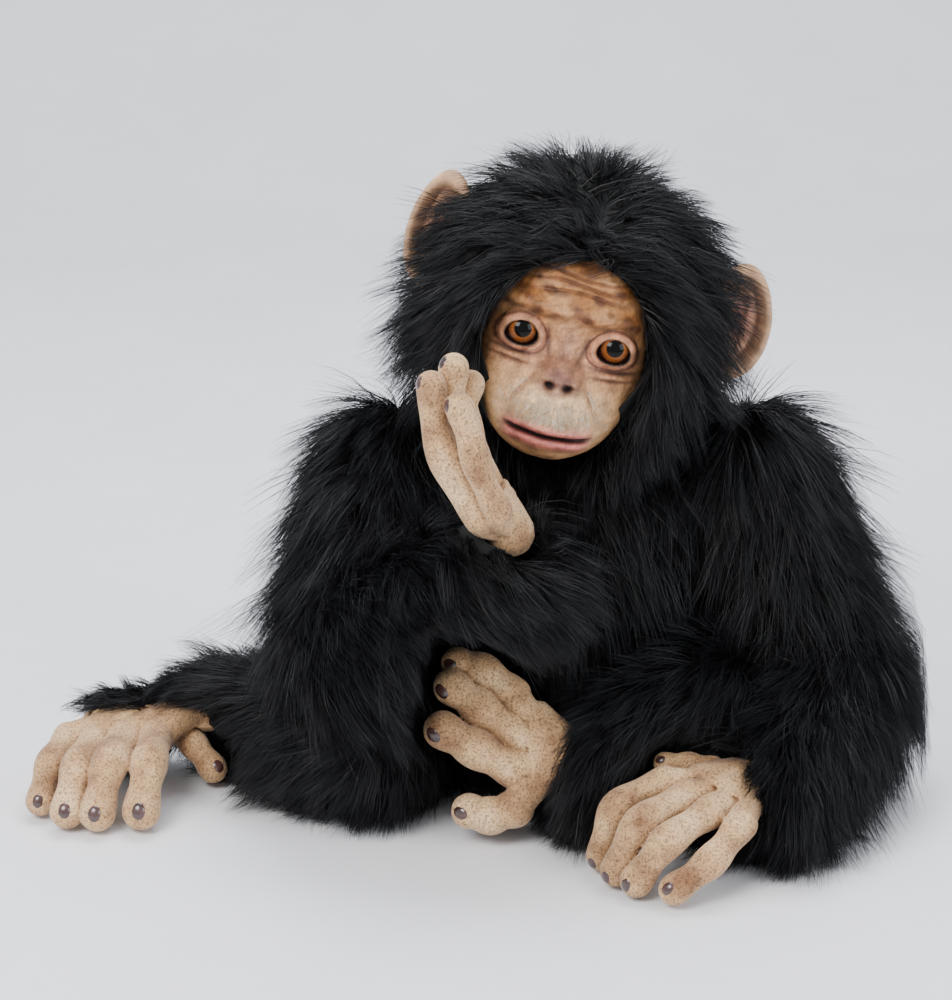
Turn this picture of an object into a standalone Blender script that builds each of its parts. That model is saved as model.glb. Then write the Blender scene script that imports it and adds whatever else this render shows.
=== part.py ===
# Seated jointed plush chimpanzee: fur-fabric body on disc joints, stuffed limbs on wire armatures,
# cast face mask with glass eyes, textile hands and feet.
# Lengths below are millimetres; meshes are written in metres, +Z up, face towards -Y.
import math

import bmesh
import bpy
import numpy as np

for ob in list(bpy.data.objects):
    bpy.data.objects.remove(ob, do_unlink=True)

# ---------------------------------------------------------------- driving sizes
SHIFT = (12.24, 65.245, 0.0)  # moves the working frame to the middle of the bounding box
GAP = 1.0  # clearance round every moving end
SKIN = 14.0  # fur fabric with its pressed pile
TORSO_X, TORSO_Y = 57.0, 5.0
TORSO_RINGS = [  # z, half width, half depth
    (0.0, 46.0, 56.0),
    (7.0, 55.0, 66.0),
    (45.0, 59.0, 77.0),
    (86.0, 60.0, 80.0),
    (115.0, 72.0, 80.0),
    (140.0, 76.5, 78.0),
    (168.0, 76.5, 70.0),
    (188.0, 72.0, 60.0),
    (200.0, 56.0, 46.0),
    (206.0, 36.0, 30.0),
]
SHOULDER_PLANE, HIP_PLANE = 78.0, 60.0  # distance of each disc joint from the middle
SHOULDER_R, SHOULDER_L = (-47.0, 0.0, 190.0), (161.0, 0.0, 190.0)
ELBOW_R, ELBOW_L = (-72.0, -104.0, 118.0), (212.0, -45.0, 72.0)
WRIST_R, WRIST_L = (20.0, -138.0, 190.0), (164.0, -136.0, 41.0)
HIP_R, HIP_L = (-27.0, 0.0, 46.0), (141.0, 0.0, 46.0)
KNEE_R, KNEE_L = (-66.0, -88.0, 56.0), (132.0, -80.0, 76.0)
ANKLE_R, ANKLE_L = (-152.0, -20.0, 47.0), (54.0, -110.0, 50.0)
R_SHOULDER, R_ELBOW, R_WRIST = 33.0, 27.0, 19.0
R_HIP, R_KNEE, R_ANKLE = 36.0, 25.0, 20.0
NECK = (56.0, 8.0, 219.0)
R_NECK = 24.0
HEAD = (54.0, -8.0, 286.0)
HEAD_ROLL, HEAD_PITCH, HEAD_YAW = 13.4, 5.0, 2.0
CORE = (62.0, 66.0, 68.0)
HAIR = (80.0, 79.0, 83.0)
FACE_W, FACE_H, FACE_Z = 48.0, 58.0, -4.0
EYE_X, EYE_Y, EYE_Z, EYE_RAD = 26.5, -62.5, 0.0, 11.5
DISC_THICK, BOLT_RAD, WIRE_RAD = 3.0, 2.5, 1.6
DISC_RAD = {"neck": 18.0, "shoulder": 17.0, "hip": 22.0}

# digits: points from root to tip with radii
DIGITS = {
    "right_foot": [
        [(-190, -44, 34, 12), (-190, -82, 33, 12), (-193, -106, 13, 12)],
        [(-208, -42.3, 33, 12), (-213, -84, 33, 12), (-218, -108, 12.5, 11.5)],
        [(-225, -40.7, 32, 11), (-232, -80, 30, 11), (-236, -104, 12, 11)],
        [(-243, -39, 31, 10), (-250, -68, 26, 10), (-254, -86, 10.5, 9.5)],
    ],
    "right_big_toe": [(-181, -24, 30, 9.5), (-169, -34, 24, 9.5), (-157, -44, 13, 9.5)],
    "left_foot": [
        [(22, -92, 80, 10.5), (4, -86, 92, 11), (-11, -84, 96, 10)],
        [(22, -102.8, 61.3, 11.5), (2, -98, 74, 12), (-14, -96, 86, 11.5)],
        [(22, -114, 42, 12), (0, -112, 54, 12.5), (-19, -110, 65, 12)],
        [(22, -125, 23, 12), (8, -126, 19, 12), (-4, -124, 21, 11)],
    ],
    "left_big_toe": [(34, -84, 58, 8.5), (19, -76, 60, 8.5), (4, -70, 66, 8)],
    "left_hand": [
        [(106, -140, 46, 10), (78, -162, 40, 10), (70, -162, 11, 9.5)],
        [(119, -152.3, 43, 10.5), (90, -181, 39, 10.5), (77, -182, 11, 9.5)],
        [(132, -164.7, 40, 10.5), (105, -193, 34, 10.5), (88, -195, 11, 10)],
        [(146, -178, 37, 10), (128, -198, 24, 10), (108, -206, 11, 9.5)],
    ],
    "left_thumb": [(134, -126, 48, 8), (121, -121.5, 49, 7.5), (107, -120.5, 49, 7)],
    "right_hand": [
        [(6, -154, 229, 9.5), (-3, -157, 250, 9.5), (-9, -155, 270, 9)],
        [(6, -143, 229, 9.5), (-18, -147, 250, 9), (-24, -146, 279, 9)],
        [(6, -132, 229, 9.5), (-13, -134, 258, 9), (-12, -133, 283, 9)],
        [(6, -121, 229, 9), (-7, -121, 252, 9), (-9, -120, 270, 8.5)],
    ],
    "right_thumb": [(14, -112, 204, 9.5), (1, -104, 210, 9), (-12, -101, 220, 8.5)],
}

RNG = np.random.default_rng(7)


# ---------------------------------------------------------------- helpers
def vec(*a):
    return np.array(a if len(a) > 1 else a[0], float)


def unit(a):
    a = np.asarray(a, float)
    return a / max(float(np.linalg.norm(a)), 1e-9)


def material(name, colour, rough=0.6, metal=0.0, coat=0.0):
    m = bpy.data.materials.new(name)
    m.use_nodes = True
    p = m.node_tree.nodes["Principled BSDF"]
    p.inputs["Base Color"].default_value = (*colour, 1.0)
    p.inputs["Roughness"].default_value = rough
    p.inputs["Metallic"].default_value = metal
    p.inputs["Coat Weight"].default_value = coat
    m.diffuse_color = (*colour, 1.0)
    return m


def make(name, verts, faces, mat):
    me = bpy.data.meshes.new(name)
    v = (np.asarray(verts, float) + vec(SHIFT)) * 0.001
    me.from_pydata(v.tolist(), [], [tuple(int(i) for i in f) for f in faces])
    me.validate()
    ob = bpy.data.objects.new(name, me)
    bpy.context.collection.objects.link(ob)
    bm = bmesh.new()
    bm.from_mesh(me)
    bmesh.ops.recalc_face_normals(bm, faces=bm.faces)
    if bm.calc_volume(signed=True) < 0:
        bmesh.ops.reverse_faces(bm, faces=bm.faces)
    bm.to_mesh(me)
    bm.free()
    if mat is not None:
        me.materials.append(mat)
    return ob


def combine(target, cutter, how="DIFFERENCE", keep=False):
    mod = target.modifiers.new("cut", "BOOLEAN")
    mod.operation = how
    mod.solver = "EXACT"
    mod.object = cutter
    graph = bpy.context.evaluated_depsgraph_get()
    me = bpy.data.meshes.new_from_object(target.evaluated_get(graph))
    target.modifiers.clear()
    mats = [m for m in target.data.materials]
    target.data = me
    me.materials.clear()
    for m in mats:
        me.materials.append(m)
    for p in me.polygons:
        p.material_index = 0
    if not keep:
        bpy.data.objects.remove(cutter, do_unlink=True)
    return target


def rings_to_solid(name, rings, start, end, mat):
    """Rings of equal length, closed by a point (or flat face when None) at each end."""
    n = len(rings[0])
    verts = [p for r in rings for p in r]
    faces = []
    for i in range(len(rings) - 1):
        for k in range(n):
            a, b = i * n + k, i * n + (k + 1) % n
            faces.append((a, b, b + n, a + n))
    if start is None:
        faces.append(tuple(reversed(range(n))))
    else:
        verts.append(start)
        s = len(verts) - 1
        faces += [(s, (k + 1) % n, k) for k in range(n)]
    last = (len(rings) - 1) * n
    if end is None:
        faces.append(tuple(range(last, last + n)))
    else:
        verts.append(end)
        s = len(verts) - 1
        faces += [(last + k, last + (k + 1) % n, s) for k in range(n)]
    return make(name, verts, faces, mat)


def stations(points, wide, grow=0.0):
    """(point, half width, half thickness) stations with frames."""
    p = [vec(q[:3]) for q in points]
    a = [q[3] + grow for q in points]
    b = [(q[4] if len(q) > 4 else q[3]) + grow for q in points]
    out = []
    for i in range(len(p)):
        t = unit(p[min(i + 1, len(p) - 1)] - p[max(i - 1, 0)])
        w = vec(wide)
        w = unit(w - t * float(w @ t))
        out.append((p[i], a[i], b[i], t, w, np.cross(t, w)))
    return out


def smooth_path(points, per=3):
    """Catmull-Rom through the given points, radii included."""
    q = [np.array(list(p) + ([p[3]] if len(p) == 4 else []), float) for p in points]
    q = [2 * q[0] - q[1]] + q + [2 * q[-1] - q[-2]]
    out = []
    for i in range(1, len(q) - 2):
        for j in range(per):
            t = j / per
            out.append(
                0.5
                * (
                    2 * q[i]
                    + (q[i + 1] - q[i - 1]) * t
                    + (2 * q[i - 1] - 5 * q[i] + 4 * q[i + 1] - q[i + 2]) * t * t
                    + (3 * q[i] - q[i - 1] - 3 * q[i + 1] + q[i + 2]) * t**3
                )
            )
    out.append(q[-2])
    return [tuple(o) for o in out]


def tube(name, points, wide, mat, n=16, caps=(3, 3), grow=0.0, bulge=(1.0, 1.0)):
    st = stations(points, wide, grow)
    ang = [2 * math.pi * k / n for k in range(n)]

    def ring(p, a, b, w, t):
        return [p + a * math.cos(x) * w + b * math.sin(x) * t for x in ang]

    rings = []
    p, a, b, d, w, t = st[0]
    h = min(a, b) * bulge[0]
    for j in range(caps[0] - 1, 0, -1):
        f = math.pi / 2 * j / caps[0]
        rings.append(
            ring(p - d * h * math.sin(f), a * math.cos(f), b * math.cos(f), w, t)
        )
    start = p - d * h
    for p, a, b, d, w, t in st:
        rings.append(ring(p, a, b, w, t))
    h = min(a, b) * bulge[1]
    for j in range(1, caps[1]):
        f = math.pi / 2 * j / caps[1]
        rings.append(
            ring(p + d * h * math.sin(f), a * math.cos(f), b * math.cos(f), w, t)
        )
    return rings_to_solid(name, rings, start, p + d * h, mat)


def head_matrix():
    r, p, y = (math.radians(v) for v in (HEAD_ROLL, HEAD_PITCH, HEAD_YAW))
    roll = np.array(
        [[math.cos(r), 0, math.sin(r)], [0, 1, 0], [-math.sin(r), 0, math.cos(r)]]
    )
    pitch = np.array(
        [[1, 0, 0], [0, math.cos(p), math.sin(p)], [0, -math.sin(p), math.cos(p)]]
    )
    yaw = np.array(
        [[math.cos(y), math.sin(y), 0], [-math.sin(y), math.cos(y), 0], [0, 0, 1]]
    )
    return yaw @ roll @ pitch


HM = head_matrix()


def head_point(p):
    return vec(HEAD) + HM @ vec(p)


def ball(name, centre, radii, mat, n=20, m=10, frame=None):
    radii = vec(radii) if np.ndim(radii) else vec(radii, radii, radii)
    f = np.eye(3) if frame is None else frame
    rings = []
    for j in range(1, m):
        z = -math.cos(math.pi * j / m)
        s = math.sin(math.pi * j / m)
        rings.append(
            [
                vec(centre)
                + f
                @ (
                    radii
                    * vec(
                        s * math.cos(2 * math.pi * k / n),
                        s * math.sin(2 * math.pi * k / n),
                        z,
                    )
                )
                for k in range(n)
            ]
        )
    return rings_to_solid(
        name,
        rings,
        vec(centre) - f @ (radii * vec(0, 0, 1)),
        vec(centre) + f @ (radii * vec(0, 0, 1)),
        mat,
    )


def rod(name, a, b, r, mat, n=24, r2=None):
    a, b = vec(a), vec(b)
    d = unit(b - a)
    w = unit(np.cross(d, vec(0, 0, 1) if abs(d[2]) < 0.9 else vec(1, 0, 0)))
    t = np.cross(d, w)
    r2 = r if r2 is None else r2
    rings = [
        [
            c + q * (math.cos(2 * math.pi * k / n) * w + math.sin(2 * math.pi * k / n) * t)
            for k in range(n)
        ]
        for c, q in ((a, r), (b, r2))
    ]
    return rings_to_solid(name, rings, None, None, mat)


def box(name, lo, hi):
    x = [(lo[0], hi[0])[i & 1] for i in range(8)]
    y = [(lo[1], hi[1])[i >> 1 & 1] for i in range(8)]
    z = [(lo[2], hi[2])[i >> 2 & 1] for i in range(8)]
    f = [(0, 2, 3, 1), (4, 5, 7, 6), (0, 1, 5, 4), (2, 6, 7, 3), (0, 4, 6, 2), (1, 3, 7, 5)]
    return make(name, list(zip(x, y, z)), f, None)


def turned(points, pivot, axis, deg):
    k, c, s = unit(axis), math.cos(math.radians(deg)), math.sin(math.radians(deg))
    out = []
    for q in points:
        v = vec(q[:3]) - vec(pivot)
        v = v * c + np.cross(k, v) * s + k * float(k @ v) * (1 - c)
        out.append((*(vec(pivot) + v), *q[3:]))
    return out


# ---------------------------------------------------------------- materials
FUR = material("black fur fabric", (0.012, 0.012, 0.014), 0.75)
STUFF = material("polyester stuffing", (0.85, 0.84, 0.8), 0.95)
BAG = material("pellet bag cotton", (0.55, 0.5, 0.42), 0.9)
BOARD = material("hardboard disc", (0.28, 0.17, 0.09), 0.7)
STEEL = material("zinc plated steel", (0.6, 0.62, 0.64), 0.35, 1.0)
WIRE = material("armature wire", (0.45, 0.46, 0.47), 0.4, 1.0)
SUEDE = material("tan textile skin", (0.62, 0.45, 0.28), 0.85)
MASK = material("painted face mask", (0.55, 0.36, 0.18), 0.6)
EAR = material("tan ear textile", (0.55, 0.33, 0.22), 0.8)
GLASS = material("amber glass eye", (0.25, 0.1, 0.03), 0.05, 0.0, 1.0)


# ---------------------------------------------------------------- limb paths
def between(a, b, ra, rb, belly=0.0, n=5):
    a, b = vec(a), vec(b)
    out = []
    for i in range(n):
        t = i / (n - 1)
        r = ra + (rb - ra) * t + belly * math.sin(math.pi * t)
        out.append((*(a + (b - a) * t), r))
    return out


PATH = {
    "upper_arm_right": between(SHOULDER_R, ELBOW_R, R_SHOULDER, R_ELBOW),
    "upper_arm_left": between(SHOULDER_L, ELBOW_L, R_SHOULDER, R_ELBOW + 1),
    "forearm_right": between(ELBOW_R, WRIST_R, R_ELBOW, R_WRIST),
    "forearm_left": between(ELBOW_L, WRIST_L, R_ELBOW, R_WRIST),
    "thigh_right": between(HIP_R, KNEE_R, R_HIP, R_KNEE),
    "thigh_left": between(HIP_L, KNEE_L, R_HIP, R_KNEE),
    "shin_right": between(KNEE_R, ANKLE_R, R_KNEE, R_ANKLE),
    "shin_left": between(KNEE_L, ANKLE_L, R_KNEE, R_ANKLE),
}
WIDE = {k: (0, 0.3, 1) for k in PATH}
HAND_PATH = {
    "hand_right": [(*WRIST_R, 17, 17), (15, -138, 203, 19, 15), (10, -137.5, 216, 20, 12), (8, -137.5, 222, 20, 11)],
    "hand_left": [(*WRIST_L, 18, 18), (151, -141, 43, 25, 16), (138, -150, 43.5, 30, 14), (132, -154, 43, 30, 13)],
    "foot_right": [(*ANKLE_R, 19, 19), (-168, -16, 42, 19, 18), (-184, -13, 37, 18, 15), (-196, -12, 35, 15, 13)],
    "foot_left": [(*ANKLE_L, 19, 19), (44, -110, 51, 26, 17), (37, -110, 52, 32, 15), (31, -110, 52, 33, 13)],
}
HAND_WIDE = {
    "hand_right": (0, 1, 0.1),
    "hand_left": (0.72, -0.67, -0.2),
    "foot_right": (0, 1, 0.1),
    "foot_left": (0, 0.52, 0.86),
}


def cross(a, b):
    return unit(np.cross(vec(a), vec(b)))


def bend_axis(a, b, c):
    return cross(vec(a) - vec(b), vec(c) - vec(b))


# child part -> pivot, hinge axis (positive opens the joint)
HINGES = {
    "forearm_right": (ELBOW_R, bend_axis(SHOULDER_R, ELBOW_R, WRIST_R)),
    "forearm_left": (ELBOW_L, bend_axis(SHOULDER_L, ELBOW_L, WRIST_L)),
    "shin_right": (KNEE_R, bend_axis(HIP_R, KNEE_R, ANKLE_R)),
    "shin_left": (KNEE_L, bend_axis(HIP_L, KNEE_L, ANKLE_L)),
    "hand_right": (WRIST_R, vec(0, -1, 0)),
    "hand_left": (WRIST_L, unit(vec(-0.714, 0.679, 0.16))),
    "foot_right": (ANKLE_R, vec(-1, 0, 0)),
    "foot_left": (ANKLE_L, unit(vec(0, 0.5, 0.866))),
}


def lathe(name, origin, axis, profile, mat, n=24, ring=False, hexagon=()):
    """Turns (distance, radius) about the axis; ring=True closes the profile on itself."""
    d = unit(axis)
    w = unit(np.cross(d, vec(0, 0, 1) if abs(d[2]) < 0.9 else vec(1, 0, 0)))
    t = np.cross(d, w)
    rings = []
    for i, (s, r) in enumerate(profile):
        row = []
        for k in range(n):
            a = 2 * math.pi * k / n
            q = r
            if i in hexagon:
                q = r / math.cos((a % (math.pi / 3)) - math.pi / 6) * math.cos(math.pi / 6)
            row.append(vec(origin) + s * d + q * (math.cos(a) * w + math.sin(a) * t))
        rings.append(row)
    if not ring:
        return rings_to_solid(name, rings, None, None, mat)
    verts = [p for r in rings for p in r]
    faces = []
    m = len(rings)
    for i in range(m):
        for k in range(n):
            a, b = i * n + k, i * n + (k + 1) % n
            c, e = (i + 1) % m * n + (k + 1) % n, (i + 1) % m * n + k
            faces.append((a, b, c, e))
    return make(name, verts, faces, mat)


def disc(name, origin, axis, s0, radius):
    e = 0.5
    return lathe(
        name,
        origin,
        axis,
        [
            (s0, BOLT_RAD + 0.6),
            (s0, radius - e),
            (s0 + e, radius),
            (s0 + DISC_THICK - e, radius),
            (s0 + DISC_THICK, radius - e),
            (s0 + DISC_THICK, BOLT_RAD + 0.6),
        ],
        BOARD,
        n=14,
        ring=True,
    )


def joint_hardware(tag, kind, origin, axis):
    """Two discs face to face, a bolt with its head on the limb's side (+axis) and a lock nut in the torso."""
    r = DISC_RAD[kind]
    disc(f"{tag}_limb_disc", origin, axis, 0.9, r)
    disc(f"{tag}_body_disc", origin, axis, -0.9 - DISC_THICK, r)
    lathe(
        f"{tag}_bolt",
        origin,
        axis,
        [(-12.5, BOLT_RAD - 0.4), (-12.0, BOLT_RAD), (4.2, BOLT_RAD), (4.2, 6.0), (7.0, 6.0), (7.8, 4.6)],
        STEEL,
        n=12,
    )
    lathe(
        f"{tag}_lock_nut",
        origin,
        axis,
        [(-4.2, BOLT_RAD + 0.35), (-4.2, 5.6), (-8.2, 5.6), (-9.6, 4.4), (-9.6, BOLT_RAD + 0.35)],
        STEEL,
        n=12,
        ring=True,
        hexagon=(1, 2),
    )


def recess(target, kind, origin, axis, side, n=14):
    """Cuts the disc's seat and the bolt's bore in one side of a disc joint."""
    r = DISC_RAD[kind] + 0.5
    if side > 0:
        prof = [(-0.8, r), (4.4, r), (4.4, 7.0), (9.5, 7.0)]
    else:
        prof = [(0.8, r), (-4.4, r), (-4.4, 7.5), (-15.0, 7.5)]
    combine(target, lathe("cut", origin, axis, prof, None, n=n))


# ---------------------------------------------------------------- limb segments
def seat(target, child, points, wide, angles=(0.0,), n=16):
    """Hollows the target's end for the child's ball, and for its shaft at the given angles."""
    pivot, axis = HINGES[child]
    r = points[0][3]
    combine(target, ball("cut", pivot, r + GAP, None, n=18, m=11))
    for i, a in enumerate(angles):
        first = tuple(0.9 * points[0][k] + 0.1 * points[1][k] for k in range(len(points[0])))
        path = turned([first] + list(points[1:]), pivot, axis, a)
        w = vec(turned([tuple(vec(pivot) + vec(wide))], pivot, axis, a)[0]) - vec(pivot)
        combine(target, tube("cut", path, w, None, n=n, caps=(2, 2), grow=GAP + 0.5 + 0.2 * i, bulge=(0.3, 0.5)))


def segment(name, n=14):
    return tube(name, PATH[name], WIDE[name], FUR, n=n, caps=(4, 3), bulge=(1.0, 0.35))


AXIS = {"right": vec(-1, 0, 0), "left": vec(1, 0, 0)}
for side in ("right", "left"):
    s = -1.0 if side == "right" else 1.0
    for limb, inner, outer, kind, plane in (
        ("upper_arm", "forearm", "hand", "shoulder", SHOULDER_PLANE),
        ("thigh", "shin", "foot", "hip", HIP_PLANE),
    ):
        top = segment(f"{limb}_{side}")
        low = segment(f"{inner}_{side}")
        seat(top, f"{inner}_{side}", PATH[f"{inner}_{side}"], WIDE[f"{inner}_{side}"])
        end = f"{outer}_{side}"
        seat(low, end, HAND_PATH[end], HAND_WIDE[end])
        a, b = sorted((TORSO_X, TORSO_X + s * (plane + 0.6)))
        combine(top, box("cut", (a, -200, -50), (b, 200, 400)))
        joint = globals()[f"{kind.upper()}_{side[0].upper()}"]
        origin = vec(TORSO_X + s * plane, joint[1], joint[2])
        recess(top, kind, origin, AXIS[side], 1)
        joint_hardware(f"{kind}_{side}", kind, origin, AXIS[side])
        # armature wires in bores that open at the next joint
        for ob, part, r_child in ((top, limb, PATH[f"{inner}_{side}"][0][3]), (low, inner, 19.0)):
            p = PATH[f"{part}_{side}"]
            a, b = vec(p[0][:3]), vec(p[-1][:3])
            length = float(np.linalg.norm(b - a))
            d = unit(b - a)
            start = 34.0 if part in ("upper_arm", "thigh") else 8.0
            combine(ob, rod("cut", a + d * start, a + d * (length + 5), WIRE_RAD + 0.6, None, n=8))
            rod(f"{part}_wire_{side}", a + d * (start + 1), a + d * (length - r_child - 4.0), WIRE_RAD, WIRE, n=8)


# ---------------------------------------------------------------- hands and feet
def digit_group(name, tag, palm_name):
    lines = DIGITS[tag]
    roots = [vec(q[0][:3]) for q in lines]
    bar = tube(
        name,
        [(*r, 9.0, 8.5) for r in roots],
        (0, 0, 1) if abs(unit(roots[-1] - roots[0])[2]) < 0.8 else (1, 0, 0),
        SUEDE,
        n=8,
        caps=(2, 2),
    )
    for q in lines:
        d = unit(vec(q[1][:3]) - vec(q[0][:3]))
        side = unit(np.cross(d, unit(roots[-1] - roots[0])))
        combine(bar, tube("cut", q, np.cross(d, side), None, n=8, caps=(1, 2)), "UNION")
    return bar


DIGIT_NAME = {
    "hand_right": ("right_hand", "fingers_right", "right_thumb", "thumb_right"),
    "hand_left": ("left_hand", "fingers_left", "left_thumb", "thumb_left"),
    "foot_right": ("right_foot", "toes_right", "right_big_toe", "big_toe_right"),
    "foot_left": ("left_foot", "toes_left", "left_big_toe", "big_toe_left"),
}
for palm, (tag, group, thumb_tag, thumb_name) in DIGIT_NAME.items():
    ob = tube(palm, HAND_PATH[palm], HAND_WIDE[palm], SUEDE, n=16, caps=(3, 2), bulge=(1.0, 0.6))
    if palm == "foot_right":  # the sole runs across the ankle's direction
        sole = ball("cut", (-206, -20, 33), (37, 26, 16), None, n=18, m=10)
        combine(ob, sole, "UNION")
    roots = [vec(q[0][:3]) for q in DIGITS[tag]]
    axis = unit(roots[-1] - roots[0])
    rad = max(q[0][3] for q in DIGITS[tag]) + GAP
    combine(ob, rod("cut", roots[0] - axis * 40, roots[-1] + axis * 40, rad, None, n=28))
    digit_group(group, tag, palm)
    pts = DIGITS[thumb_tag]
    combine(ob, tube("cut", pts, (0.2, 0.3, 0.9), None, n=10, caps=(3, 2), grow=GAP + 0.3))
    tube(thumb_name, pts, (0.2, 0.3, 0.9), SUEDE, n=10, caps=(2, 3))


# ---------------------------------------------------------------- torso
def torso_solid(name, inset, floor, lid, mat, n=24):
    rings = []
    for z, rx, ry in TORSO_RINGS:
        z = min(max(z, floor), lid)
        rx, ry = max(rx - inset, 8.0), max(ry - inset, 8.0)
        if rings and z <= rings[-1][0][2] + 0.5:
            continue
        rings.append(
            [
                vec(
                    TORSO_X + rx * math.cos(2 * math.pi * k / n),
                    TORSO_Y + ry * math.sin(2 * math.pi * k / n),
                    z,
                )
                for k in range(n)
            ]
        )
    return rings_to_solid(name, rings, None, None, mat)


shell = torso_solid("torso_fur_fabric", 0.0, 0.0, 206.0, FUR)
SIDES = [
    (kind, plane, rad, -1.0 if side == "right" else 1.0, side)
    for side in ("right", "left")
    for kind, plane, rad in (("shoulder", SHOULDER_PLANE, 22.0), ("hip", HIP_PLANE, 30.0))
]
for kind, plane, rad, s, side in SIDES:  # flat bosses that the limbs' discs lie on
    joint = globals()[f"{kind.upper()}_{side[0].upper()}"]
    origin = vec(TORSO_X + s * plane, joint[1], joint[2])
    combine(shell, rod("add", origin - s * vec(22, 0, 0), origin - s * vec(0.6, 0, 0), rad - 2, None, n=14, r2=rad), "UNION")
combine(shell, torso_solid("cut", SKIN, 8.0, 196.0, None))
stuffing = torso_solid("torso_stuffing", SKIN + 1.0, 8.8, 195.2, STUFF)
for kind, plane, rad, s, side in SIDES:
    joint = globals()[f"{kind.upper()}_{side[0].upper()}"]
    origin = vec(TORSO_X + s * plane, joint[1], joint[2])
    recess(shell, kind, origin, AXIS[side], -1)
neck_seat = vec(NECK[0], NECK[1], 207.0)
recess(shell, "neck", neck_seat, (0, 0, 1), -1)
combine(stuffing, rod("cut", neck_seat, neck_seat - vec(0, 0, 15.5), 7.3, None, n=16))
joint_hardware("neck", "neck", vec(NECK[0], NECK[1], 207.0), (0, 0, 1))
combine(stuffing, rod("cut", (TORSO_X, TORSO_Y + 4, 0), (TORSO_X, TORSO_Y + 4, 36), 33.0, None, n=20))
lathe(
    "weight_bag",
    (TORSO_X, TORSO_Y + 4, 0),
    (0, 0, 1),
    [(9.2, 18.0), (10.5, 27.0), (15.0, 31.5), (25.0, 32.0), (31.0, 28.0), (34.5, 16.0)],
    BAG,
    n=20,
)

# ---------------------------------------------------------------- neck and head
neck = ball("neck_stub", NECK, R_NECK, FUR, n=20, m=12)
combine(neck, box("cut", (-50, -100, 150), (150, 100, 207.6)))
recess(neck, "neck", vec(NECK[0], NECK[1], 207.0), (0, 0, 1), 1)

core = ball("head_core", HEAD, CORE, STUFF, n=20, m=12, frame=HM)
hair = ball("head_fur_fabric", HEAD, HAIR, FUR, n=20, m=12, frame=HM)
combine(hair, ball("cut", HEAD, vec(CORE) + 1.2, None, n=20, m=12, frame=HM))


def outline(a, grow=0.0):
    """Face outline at angle a, as a point of the face plane."""
    c, s = math.cos(a), math.sin(a)
    w = FACE_W + grow
    h = (FACE_H if s > 0 else FACE_H - 3.0) + grow
    if s < 0:
        w -= 7.0 * s * s
    e = 2.25
    r = (abs(c / w) ** e + abs(s / h) ** e) ** (-1 / e)
    return r * c, FACE_Z + r * s


def face_prism(grow, y0, y1):
    n = 24
    rings = [
        [head_point((outline(2 * math.pi * k / n, grow)[0], y, outline(2 * math.pi * k / n, grow)[1])) for k in range(n)]
        for y in (y0, y1)
    ]
    return rings_to_solid("cut", rings, None, None, None)


combine(hair, face_prism(1.2, -130.0, -12.0))
for ob in (core, hair):
    combine(ob, ball("cut", NECK, R_NECK + 1.6, None, n=20, m=12))
combine(hair, rod("cut", (NECK[0], NECK[1], 150), (NECK[0], NECK[1], 212), 50.0, None, n=24, r2=42.0))


def bump(x, z, cx, cz, wx, wz, p=2.0):
    return math.exp(-((abs(x - cx) / wx) ** p) - (abs(z - cz) / wz) ** p)


def face_depth(x, z):
    """How far the face stands in front of the head's middle."""
    ax = abs(x)
    h = 74.0 - 0.0095 * x * x - 0.0022 * (z - 5) ** 2
    h += 25.0 * bump(x, z, 0, -36, 31, 24, 2.6)  # muzzle
    h += 4.5 * bump(ax, z, 20, 21, 17, 7)  # brow
    h -= 4.0 * bump(ax, z, 26, 1, 13, 9)  # eye sockets
    h += 3.0 * bump(ax, z, 27, 1, 9, 6)
    h += 6.0 * bump(x, z, 0, -15, 8, 10)  # nose
    h -= 1.6 * bump(x, z, 0, -44, 30, 2.6)  # mouth line
    h += 2.0 * bump(x, z, 0, -51, 20, 5)  # lower lip
    return h


def back_depth(x, z):
    q = max(1.0 - (x / CORE[0]) ** 2 - (z / CORE[2]) ** 2, 0.0)
    return CORE[1] * math.sqrt(q) + 1.6


n, m = 24, 7
rings = []
for j in range(1, m + 1):
    f = (j / m) ** 0.85
    row = []
    for k in range(n):
        ox, oz = outline(2 * math.pi * k / n)
        x, z = ox * f, FACE_Z + (oz - FACE_Z) * f
        h = face_depth(x, z)
        if j == m:
            h = max(back_depth(x, z) + 5.0, h - 7.0)
        row.append(head_point((x, -h, z)))
    rings.append(row)
rings_b = []
for f in (1.0, 0.8, 0.55, 0.28):
    row = []
    for k in range(n):
        ox, oz = outline(2 * math.pi * k / n)
        x, z = ox * f, FACE_Z + (oz - FACE_Z) * f
        row.append(head_point((x, -back_depth(x, z), z)))
    rings_b.append(row)
mask = rings_to_solid(
    "face_mask",
    rings + rings_b,
    head_point((0, -face_depth(0, FACE_Z), FACE_Z)),
    head_point((0, -back_depth(0, FACE_Z), FACE_Z)),
    MASK,
)
for side, s in (("right", -1), ("left", 1)):
    c = head_point((s * EYE_X, EYE_Y, EYE_Z))
    for ob in (mask, core):
        combine(ob, ball("cut", c, EYE_RAD + 0.9, None, n=16, m=10, frame=HM))
    ball(f"eye_{side}", c, EYE_RAD, GLASS, n=16, m=10, frame=HM)


def ear(name, s, centre, width, height, turn):
    a = math.radians(turn)
    out = vec(s * math.cos(a), math.sin(a), 0)
    nrm = vec(s * math.sin(a), -math.cos(a), 0)
    f = HM @ np.stack([out, nrm, np.cross(out, nrm)], 1)
    c = head_point(centre)
    ob = ball(name, c, (width, 9.0, height), EAR, n=18, m=10, frame=f)
    combine(
        ob,
        ball("cut", c + f @ vec(0, 8.3, 0), (width - 3.2, 10.5, height - 3.7), None, n=20, m=11, frame=f),
    )
    combine(ob, ball("cut", HEAD, vec(HAIR) + 1.4, None, n=20, m=12, frame=HM))
    return ob


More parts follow.
